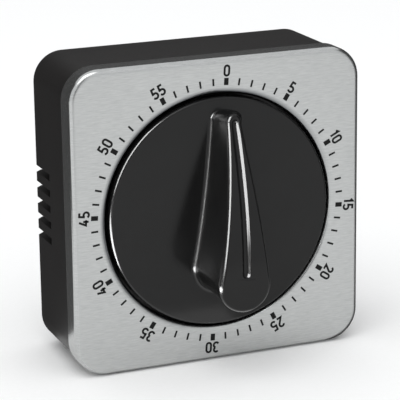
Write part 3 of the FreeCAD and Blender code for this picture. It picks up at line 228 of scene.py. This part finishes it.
# Face plate: half a millimetre of stainless steel, brushed along its width and
# then pressed, with a skirt round the case and a curl round the knob's well.
plate_low, plate_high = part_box("face_plate")
plate_front = plate_low.y
plate_middle = (plate_low + plate_high) / 2
bend_start, bend_end = plate_front + 0.00002, plate_front + 0.0004
curl_outer, curl_inner = 0.0307, 0.0298
brushed_steel, brushed = new_material("brushed_stainless_steel", metallic=1.0)
sheet_place = add_node(brushed_steel, "ShaderNodeUVMap", {"uv_map": "sheet"}, {})
lay = add_node(brushed_steel, "ShaderNodeMapping", {},
               {"Vector": sheet_place.outputs["UV"], "Scale": (330, 3900, 1)})
lines = add_node(brushed_steel, "ShaderNodeTexNoise", {"noise_dimensions": "2D"},
                 {"Vector": lay.outputs["Vector"], "Scale": 1.0, "Detail": 5.0, "Roughness": 0.65,
                  "Distortion": 0.4})
place = add_node(brushed_steel, "ShaderNodeTexCoord", {}, {})
depth = add_node(brushed_steel, "ShaderNodeSeparateXYZ", {}, {"Vector": place.outputs["Object"]})
bent = add_node(brushed_steel, "ShaderNodeMapRange", {},
                {"Value": depth.outputs["Y"], "From Min": bend_start, "From Max": bend_end})
spread = add_node(brushed_steel, "ShaderNodeVectorMath", {"operation": "SUBTRACT"},
                  {0: place.outputs["Object"], 1: (0, plate_front, plate_middle.z)})
radius = add_node(brushed_steel, "ShaderNodeVectorMath", {"operation": "LENGTH"},
                  {0: spread.outputs["Vector"]})
# Painted shade: the curl round the opening turns a dull grey towards its upper left, where it faces the
# dark gap round the knob. This darkening is mixed into the steel's colour and does not come from the
# lighting.
curl = add_node(brushed_steel, "ShaderNodeMapRange", {},
                {"Value": radius.outputs["Value"], "From Min": curl_outer, "From Max": curl_inner})
tone = add_node(brushed_steel, "ShaderNodeMix", {"data_type": "RGBA"},
                {"Factor": lines.outputs["Fac"], 6: linear("#a3a5a5"), 7: linear("#cfd0cf")})
side = add_node(brushed_steel, "ShaderNodeVectorMath", {"operation": "DOT_PRODUCT"},
                {0: spread.outputs["Vector"], 1: (-0.7, 0, 0.7)})
shade_side = add_node(brushed_steel, "ShaderNodeMapRange", {},
                      {"Value": side.outputs["Value"], "From Min": -0.02, "From Max": 0.015})
curl_painted_shade_mask = add_node(brushed_steel, "ShaderNodeMath", {"operation": "MULTIPLY"},
                 {0: curl.outputs["Result"], 1: shade_side.outputs["Result"]})
plate_tone_with_painted_shade = add_node(brushed_steel, "ShaderNodeMix", {"data_type": "RGBA"},
                  {"Factor": curl_painted_shade_mask.outputs["Value"], 6: tone.outputs[2], 7: linear("#6e7072")})
polish = add_node(brushed_steel, "ShaderNodeMapRange", {},
                  {"Value": lines.outputs["Fac"], "To Min": 0.28, "To Max": 0.42})
burnish = add_node(brushed_steel, "ShaderNodeMix", {},
                   {"Factor": bent.outputs["Result"], 2: polish.outputs["Result"], 3: 0.2})
bump = add_node(brushed_steel, "ShaderNodeBump", {},
                {"Height": lines.outputs["Fac"], "Strength": 0.2, "Distance": 0.00002})
brushed_steel.node_tree.links.new(plate_tone_with_painted_shade.outputs[2], brushed.inputs["Base Color"])
brushed_steel.node_tree.links.new(burnish.outputs[0], brushed.inputs["Roughness"])
brushed_steel.node_tree.links.new(bump.outputs["Normal"], brushed.inputs["Normal"])
plate = smooth_copy("face_plate", "steel_face_plate", brushed_steel, "housing")
build = bmesh.new()
build.from_mesh(plate.data)
sheet = build.loops.layers.uv.new("sheet")
for face in build.faces:
    across = face.calc_center_median() - plate_middle
    for loop in face.loops:
        x, y, z = loop.vert.co
        bent = y - plate_front
        if abs(across.x) > abs(across.z):
            loop[sheet].uv = (x + math.copysign(bent, across.x), z)
        else:
            loop[sheet].uv = (x, z + math.copysign(bent, across.z))
build.to_mesh(plate.data)
build.free()

# Dial: sixty minute ticks and the numbers 0 to 55, screen printed in black ink
# on the plate. The knob turns in front of them and points at the minutes left.
dial_centre = Vector((0, plate_front, plate_middle.z))
dial_turn = math.radians(3.83)
ink_depth = 0.00003
ink_black, ink = new_material("black_screen_ink", roughness=0.55)
ink.inputs["Specular IOR Level"].default_value = 0.2
place = add_node(ink_black, "ShaderNodeTexCoord", {}, {})
mesh_marks = add_node(ink_black, "ShaderNodeTexNoise", {},
                      {"Vector": place.outputs["Object"], "Scale": 5000.0})
tone = add_node(ink_black, "ShaderNodeMix", {"data_type": "RGBA"},
                {"Factor": mesh_marks.outputs["Fac"], 6: linear("#050505"), 7: linear("#0c0c0b")})
ink_black.node_tree.links.new(tone.outputs[2], ink.inputs["Base Color"])
tick_radius = 0.03205
tick_length = 0.00175
minute_width, five_width = 0.00048, 0.00115
build = bmesh.new()
for minute in range(60):
    tick_width = minute_width if minute % 5 else five_width
    angle = math.radians(minute * 6) + dial_turn
    tick = bmesh.ops.create_cube(build, size=1)["verts"]
    bmesh.ops.scale(build, verts=tick, vec=(tick_width, ink_depth, tick_length))
    bmesh.ops.translate(build, verts=tick, vec=(0, 0, tick_radius))
    bmesh.ops.rotate(build, verts=tick, cent=(0, 0, 0), matrix=Matrix.Rotation(angle, 3, "Y"))
bmesh.ops.translate(build, verts=build.verts, vec=dial_centre)
ticks = new_piece("minute_ticks", build, ink_black)
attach(ticks, "housing")


def arc(centre, radius, start, stop, steps):
    """Points of a circular arc, from one angle to another."""
    turns = [math.radians(start + (stop - start) * k / steps) for k in range(steps + 1)]
    return [(centre[0] + radius * math.cos(a), centre[1] + radius * math.sin(a)) for a in turns]


number_radius = 0.0347
number_height = 0.0028
stroke = 0.00053
digit_step = {"0": 0.70, "1": 0.50, "2": 0.68, "3": 0.68, "4": 0.70, "5": 0.68}
digit_lines = {
    "0": [arc((0, 0.22), 0.21, 0, 180, 10) + arc((0, -0.22), 0.21, 180, 360, 10) + [(0.21, 0.22)]],
    "1": [[(-0.13, 0.24), (0.06, 0.42), (0.06, -0.43)]],
    "2": [arc((0, 0.22), 0.21, 170, -35, 12) + [(-0.2, -0.43), (0.22, -0.43)]],
    "3": [arc((-0.01, 0.235), 0.195, 150, -70, 12), arc((-0.01, -0.195), 0.235, 80, -150, 14)],
    "4": [[(0.02, 0.43), (-0.22, -0.2), (0.24, -0.2)], [(0.09, 0.06), (0.09, -0.43)]],
    "5": [[(0.18, 0.43), (-0.15, 0.43), (-0.18, 0.02)] + arc((-0.01, -0.19), 0.235, 118, -150, 14)],
}
build = bmesh.new()
for minute in range(0, 60, 5):
    turn = Matrix.Rotation(math.radians(minute * 6) + dial_turn, 3, "Y")
    steps = [digit_step[digit] for digit in str(minute)]
    left = -sum(steps) / 2
    for digit, step in zip(str(minute), steps):
        for line in digit_lines[digit]:
            path = [Vector((left + step / 2 + x, 0, z)) * number_height for x, z in line]
            points = [build.verts.new(turn @ (point + Vector((0, 0, number_radius)))) for point in path]
            for pair in zip(points, points[1:]):
                build.edges.new(pair)
        left += step
bmesh.ops.remove_doubles(build, verts=build.verts, dist=1e-6)
deep = bmesh.ops.extrude_edge_only(build, edges=list(build.edges))["geom"]
bmesh.ops.translate(build, verts=[g for g in deep if isinstance(g, bmesh.types.BMVert)],
                    vec=(0, -ink_depth, 0))
bmesh.ops.translate(build, verts=build.verts, vec=dial_centre + Vector((0, ink_depth / 2, 0)))
numbers = new_piece("dial_numbers", build, ink_black)
thicken = numbers.modifiers.new("stroke", "SOLIDIFY")
thicken.thickness = stroke
thicken.offset = 0.0
thicken.use_even_offset = True
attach(numbers, "housing")

# Knob disc: a shallow cap moulded in black ABS in a polished tool, with a hub
# behind for the arbor. It is glossier than the case, and its edge is rounded.
polished_black, polished = new_material("black_abs_polished", roughness=0.2)
polished.inputs["Specular IOR Level"].default_value = 0.26
place = add_node(polished_black, "ShaderNodeTexCoord", {}, {})
haze = add_node(polished_black, "ShaderNodeTexNoise", {},
                {"Vector": place.outputs["Object"], "Scale": 180.0, "Detail": 3.0})
tone = add_node(polished_black, "ShaderNodeMix", {"data_type": "RGBA"},
                {"Factor": haze.outputs["Fac"], 6: linear("#101010"), 7: linear("#151515")})
gloss = add_node(polished_black, "ShaderNodeMapRange", {},
                 {"Value": haze.outputs["Fac"], "To Min": 0.15, "To Max": 0.21})
polished_black.node_tree.links.new(tone.outputs[2], polished.inputs["Base Color"])
polished_black.node_tree.links.new(gloss.outputs["Result"], polished.inputs["Roughness"])
knob_radius = 28.45
knob_face = 0.7
knob_rim = -3.6
knob_under = -0.9
knob_skirt = 1.45
hub_radius = 4.2
hub_end = -4.1
arbor_radius = 1.6
knob_edge = 0.7


def stand_up(build):
    """Takes a piece from the dial's own frame, in millimetres, to its place in the timer."""
    for angle, axis in ((math.pi / 2, "X"), (dial_turn, "Y")):
        bmesh.ops.rotate(build, verts=build.verts, cent=(0, 0, 0), matrix=Matrix.Rotation(angle, 3, axis))
    bmesh.ops.scale(build, verts=build.verts, vec=(0.001, 0.001, 0.001))
    bmesh.ops.translate(build, verts=build.verts, vec=dial_centre)


outline = [(0, knob_face), (knob_radius, knob_face), (knob_radius, knob_rim),
           (knob_radius - knob_skirt, knob_rim), (knob_radius - knob_skirt, knob_under),
           (hub_radius, knob_under), (hub_radius, hub_end), (arbor_radius, hub_end),
           (arbor_radius, knob_under), (0, knob_under)]
build = bmesh.new()
corners = [build.verts.new((r, 0, z)) for r, z in outline]
line = [build.edges.new(pair) for pair in zip(corners, corners[1:])]
bmesh.ops.spin(build, geom=corners + line, cent=(0, 0, 0), axis=(0, 0, 1), angle=2 * math.pi, steps=180,
               use_merge=True)
bmesh.ops.remove_doubles(build, verts=build.verts, dist=1e-4)
bmesh.ops.recalc_face_normals(build, faces=build.faces)
outer_verts = {v for v in build.verts if v.co.xy.length > knob_radius - 0.01 and v.co.z > 0}
rims = [e for e in build.edges if set(e.verts) <= outer_verts]
bmesh.ops.bevel(build, geom=rims, offset=knob_edge, affect="EDGES", segments=5, profile=0.5, material=-1)
shade(build, 35)
stand_up(build)
knob_disc = new_piece("knob_disc", build, polished_black)
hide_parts("knob")
knob_lit.objects.link(knob_disc)
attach(knob_disc, "knob_group")

# Grip: one moulding with the disc. It rises and widens from the rounded tip to
# a round tail, its flanks are scooped, and a groove for a finger runs up its top.
grip_start = 25.4
grip_length = 39.0
tip_centre = 23.2
tip_length = 2.2
tail_centre = -13.6
tip_top, top_growth, top_curve = 1.8, 4.75, 1.24
tip_base, base_growth, base_curve = 3.5, 2.45, 2.13
grip_height, grip_drop, ramp_curve = 18.3, 13.1, 1.665
edge_round, root_round = 1.1, 1.0
trough_round, lip_round = 1.0, 0.45
scoop_share = 0.02
groove_half = 1.28
groove_depth = 0.72
groove_end = -11.7


def half_section(y):
    """Half of the grip's cross-section at a place along it, from the groove's floor to the disc."""
    share = min(max((grip_start - y) / grip_length, 0.0), 1.0)
    top = tip_top + top_growth * share ** top_curve
    base = tip_base + base_growth * share ** base_curve
    height = grip_height - grip_drop * (1 - share) ** ramp_curve
    ending = min(max((y - groove_end) / groove_half, 0.0), 1.0)
    fade = math.sqrt(1 - (1 - ending) ** 2)
    slot, deep = groove_half * fade, groove_depth * fade
    trough, lip, edge, root = trough_round * fade, lip_round * fade, edge_round, root_round
    scoop = scoop_share * (height - knob_face)
    section = [(0, height - deep)]
    section += arc((0, height - deep + trough), trough, -80, -40, 5)
    section += arc((slot, height - lip), lip, 140, 90, 5)
    section += [((slot + top - edge) / 2, height)]
    section += arc((top - edge, height - edge), edge, 90, 0, 5)
    for step in range(1, 12):
        down = step / 12
        bow = scoop * math.sin(math.pi * down)
        section.append((top + (base - top) * down - bow,
                        height - edge - (height - edge - knob_face - root) * down))
    section += arc((base + root, knob_face + root), root, 180, 270, 6)
    return section


stations = [("tip", 90 - 7.5 * k) for k in range(12)]
stations += [("ramp", tip_centre - k * (tip_centre - groove_end - groove_half) / 36) for k in range(37)]
stations += [("ramp", groove_end + groove_half * (1 - math.sin(math.radians(9 * k))))
             for k in range(1, 11)]
stations += [("ramp", groove_end - 0.6), ("ramp", groove_end - 1.3)]
stations += [("tail", 6 * k) for k in range(16)]
half = len(half_section(0.0)) - 1
build = bmesh.new()
bmesh.ops.create_grid(build, x_segments=2 * half, y_segments=len(stations) - 1, size=0.5)
for vert in build.verts:
    across = round((vert.co.x + 0.5) * 2 * half) - half
    kind, value = stations[round((vert.co.y + 0.5) * (len(stations) - 1))]
    along = {"tip": tip_centre, "ramp": value, "tail": tail_centre}[kind]
    x, z = half_section(along)[abs(across)]
    bend = math.radians(value) if kind != "ramp" else 0.0
    y = along
    if kind == "tip":
        y += tip_length * math.sin(bend) * min(1.0, x / half_section(along)[half // 2][0])
    elif kind == "tail":
        y -= x * math.sin(bend)
    vert.co = (math.copysign(x * math.cos(bend), across), y, z)
bmesh.ops.remove_doubles(build, verts=build.verts, dist=1e-3)
bmesh.ops.recalc_face_normals(build, faces=build.faces)
shade(build, 60)
stand_up(build)
grip = new_piece("knob_grip", build, polished_black)
knob_lit.objects.link(grip)
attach(grip, "knob_group")

# Back cover: the lid of the case, moulded in the same black ABS with a bevelled
# edge, a grille for the bell, and pockets for the screws and magnets.
cover = smooth_copy("back_cover", "black_back_cover", moulded_black, "housing")


# Cover screws: four slotted screws of turned steel with a bright zinc plating,
# which is slightly blue and mottled, with fine turning marks.
def new_metal(name, dark, light, gloss, grain):
    """A metal whose colour and gloss vary with one stretched noise; grain is its scale each way."""
    material, shader = new_material(name, metallic=1.0)
    place = add_node(material, "ShaderNodeTexCoord", {}, {})
    stretch = add_node(material, "ShaderNodeMapping", {},
                       {"Vector": place.outputs["Object"], "Scale": grain})
    noise = add_node(material, "ShaderNodeTexNoise", {},
                     {"Vector": stretch.outputs["Vector"], "Scale": 1.0, "Detail": 4.0})
    tone = add_node(material, "ShaderNodeMix", {"data_type": "RGBA"},
                    {"Factor": noise.outputs["Fac"], 6: linear(dark), 7: linear(light)})
    sheen = add_node(material, "ShaderNodeMapRange", {},
                     {"Value": noise.outputs["Fac"], "To Min": gloss[0], "To Max": gloss[1]})
    bump = add_node(material, "ShaderNodeBump", {},
                    {"Height": noise.outputs["Fac"], "Strength": 0.2, "Distance": 0.00001})
    material.node_tree.links.new(tone.outputs[2], shader.inputs["Base Color"])
    material.node_tree.links.new(sheen.outputs["Result"], shader.inputs["Roughness"])
    material.node_tree.links.new(bump.outputs["Normal"], shader.inputs["Normal"])
    return material


def dress(material, *names):
    """Gives CAD nodes, whose shapes stay as they are, their material."""
    for name in names:
        nodes[name].material_slots[0].material = material


dress(new_metal("bright_zinc_plate", "#a9b0b8", "#ced3d8", (0.22, 0.36), (900, 900, 900)),
      "cover_screws", "movement_screws", "pillar_nuts")

# Magnets: two flat ferrite bars set in the cover, pressed from powder and
# ground, so they are a dull dark grey with a fine grain.
ferrite_grey, ferrite = new_material("ground_ferrite", metallic=0.2, roughness=0.62)
place = add_node(ferrite_grey, "ShaderNodeTexCoord", {}, {})
powder = add_node(ferrite_grey, "ShaderNodeTexNoise", {},
                  {"Vector": place.outputs["Object"], "Scale": 2200.0, "Detail": 4.0})
tone = add_node(ferrite_grey, "ShaderNodeMix", {"data_type": "RGBA"},
                {"Factor": powder.outputs["Fac"], 6: linear("#2b2b2d"), 7: linear("#4a4a4c")})
bump = add_node(ferrite_grey, "ShaderNodeBump", {},
                {"Height": powder.outputs["Fac"], "Strength": 0.4, "Distance": 0.00003})
ferrite_grey.node_tree.links.new(tone.outputs[2], ferrite.inputs["Base Color"])
ferrite_grey.node_tree.links.new(bump.outputs["Normal"], ferrite.inputs["Normal"])
dress(ferrite_grey, "magnets")

# Movement frame: two plates blanked from mild steel, nickel plated, held apart
# by turned pillars. The sheet keeps a faint rolling grain along its width.
dress(new_metal("nickelled_sheet_steel", "#a4a19a", "#bdbab2", (0.28, 0.42), (120, 2400, 2400)),
      "front_movement_plate", "rear_movement_plate", "movement_pillars")

# Arbors, pinions and clicks: carbon steel, cut and burnished, a little darker
# than the plates and glossier where it runs.
dress(new_metal("burnished_cut_steel", "#8b8c8f", "#abacae", (0.18, 0.32), (1500, 1500, 1500)),
      "main_arbor", "strike_cam", "ratchet_wheel", "click", "second_pinion", "third_pinion",
      "escape_pinion", "alarm_pinion", "pallet_pins", "pallet_arbor", "balance_staff", "impulse_roller",
      "hammer_arbor", "strike_verge", "release_arbor", "spring_post", "hairspring_stud")

# Train wheels: stamped from half-hard brass sheet, bright on the faces with a
# faint rolling grain, and slightly darker with age.
dress(new_metal("stamped_brass", "#b08d45", "#cdaa5e", (0.22, 0.36), (200, 2200, 2200)),
      "main_wheel", "second_wheel", "third_wheel", "escape_wheel", "star_wheel", "balance_wheel",
      "pallet_lever")

# Springs and levers: hardened steel strip, tempered to a dark blue-grey, with
# the fine lengthwise marks of rolling.
dress(new_metal("tempered_spring_steel", "#5c6470", "#7a818c", (0.24, 0.38), (400, 1800, 1800)),
      "mainspring", "hairspring", "knob_clip", "hammer_arm", "release_lever", "release_arm")

# Bell: a shallow steel gong, drawn and nickel plated, on a post with a screw;
# the hammer's head strikes its edge. The plating is bright with faint rings.
dress(new_metal("nickelled_bell_steel", "#b5b0a5", "#d2cdc2", (0.12, 0.24), (700, 700, 700)),
      "bell", "bell_post", "bell_screw", "hammer_head")
